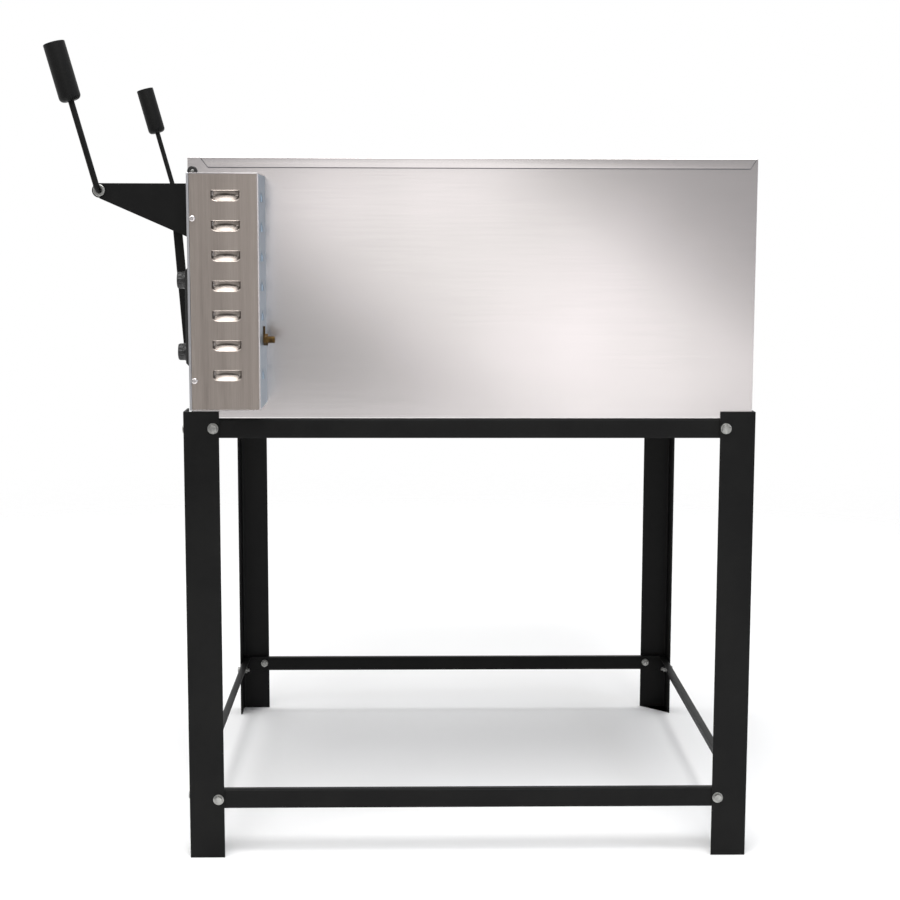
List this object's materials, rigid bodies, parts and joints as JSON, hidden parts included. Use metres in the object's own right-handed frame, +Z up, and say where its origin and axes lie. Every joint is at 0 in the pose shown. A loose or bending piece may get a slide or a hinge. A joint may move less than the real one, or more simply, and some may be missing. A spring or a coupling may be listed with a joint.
{
  "type": "gas oven",
  "caption": "Gas deck oven on a bolted angle stand, with a side gas box and a lift door hung from a counterweighted lever.",
  "frame": {"origin": "middle of the whole object's plan, on the floor", "axes": "+Z up, -Y out of the door, +X towards the gas box"},
  "size_m": [1.1086, 1.1948, 1.3938],
  "materials": {
    "black_powder_coat": "satin, fine orange peel",
    "polished_stainless": "bright rolled",
    "brushed_stainless": "warm brushed",
    "galvanised_steel": "dull, heat marked",
    "brass": "aged",
    "black_plastic": "moulded satin",
    "zinc_plated_steel": "bright zinc",
    "fireclay": "rough fired clay",
    "mineral_wool": "loose fibre"
  },
  "bodies": {
    "oven": {"base_pan": "galvanised_steel", "chamber_liner": "galvanised_steel", "control_panel": "brushed_stainless", "door_guide_left": "polished_stainless", "door_guide_right": "polished_stainless", "feed_pipe_lower": "galvanised_steel", "feed_pipe_upper": "galvanised_steel", "front_frame": "polished_stainless", "front_sill": "polished_stainless", "gas_box_cover": "brushed_stainless", "gas_box_screw_lower": "zinc_plated_steel", "gas_box_screw_upper": "zinc_plated_steel", "gas_manifold": "galvanised_steel", "gas_valve_lower": "brass", "gas_valve_upper": "brass", "hearth_frame": "galvanised_steel", "hearth_tile_front": "fireclay", "hearth_tile_rear": "fireclay", "inlet_fitting": "brass", "insulation_blanket": "mineral_wool", "knob_bezel": "black_plastic", "lift_bracket_left": "black_powder_coat", "lift_bracket_right": "black_powder_coat", "lower_burner": "galvanised_steel", "lower_rail_front": "black_powder_coat", "lower_rail_left": "black_powder_coat", "lower_rail_rear": "black_powder_coat", "lower_rail_right": "black_powder_coat", "pivot_bush_left": "zinc_plated_steel", "pivot_bush_right": "zinc_plated_steel", "rear_panel": "polished_stainless", "side_grommet": "black_plastic", "side_panel_left": "polished_stainless", "side_panel_right": "polished_stainless", "stand_leg_front_left": "black_powder_coat", "stand_leg_front_right": "black_powder_coat", "stand_leg_rear_left": "black_powder_coat", "stand_leg_rear_right": "black_powder_coat", "top_cover": "polished_stainless", "top_rail_front": "black_powder_coat", "top_rail_left": "black_powder_coat", "top_rail_rear": "black_powder_coat", "top_rail_right": "black_powder_coat", "upper_burner": "galvanised_steel"},
    "door": {"door_skin": "polished_stainless", "door_back": "polished_stainless", "door_handle": "black_powder_coat", "lift_bar_right": "black_powder_coat", "lift_bar_left": "black_powder_coat", "thermometer_case": "polished_stainless"},
    "lever": {"lever_shaft": "black_powder_coat", "weight_rod_right": "black_powder_coat", "weight_rod_left": "black_powder_coat", "counterweight_right": "black_powder_coat", "counterweight_left": "black_powder_coat", "lift_arm_right": "black_powder_coat", "lift_arm_left": "black_powder_coat"},
    "lower_knob": {"knob_lower": "black_plastic"},
    "upper_knob": {"knob_upper": "black_plastic"},
    "needle": {"thermometer_needle": "black_powder_coat"}
  },
  "joints": [
    {"name": "door_lift", "type": "slide", "parent": "oven", "child": "door", "axis": [0, 0, 1], "range_m": [0, 0.142]},
    {"name": "lever_swing", "type": "hinge", "parent": "oven", "child": "lever", "pos_m": [-0.0528, -0.51407, 1.151], "axis": [1, 0, 0], "range_deg": [0, 59.6]},
    {"name": "lower_knob_turn", "type": "hinge", "parent": "oven", "child": "lower_knob", "pos_m": [0.4852, -0.37807, 0.888], "axis": [0, 1, 0], "range_deg": [0, 180]},
    {"name": "upper_knob_turn", "type": "hinge", "parent": "oven", "child": "upper_knob", "pos_m": [0.4852, -0.37807, 1.005], "axis": [0, 1, 0], "range_deg": [0, 180]},
    {"name": "needle_turn", "type": "hinge", "parent": "door", "child": "needle", "pos_m": [-0.2678, -0.35807, 0.95], "axis": [0, 1, 0], "range_deg": [0, 270], "stiffness_Nm_per_rad": 0.002}
  ],
  "couplings": [
    {"joint": "lever_swing", "follows": "door_lift", "rad_per_m": 7.3}
  ]
}
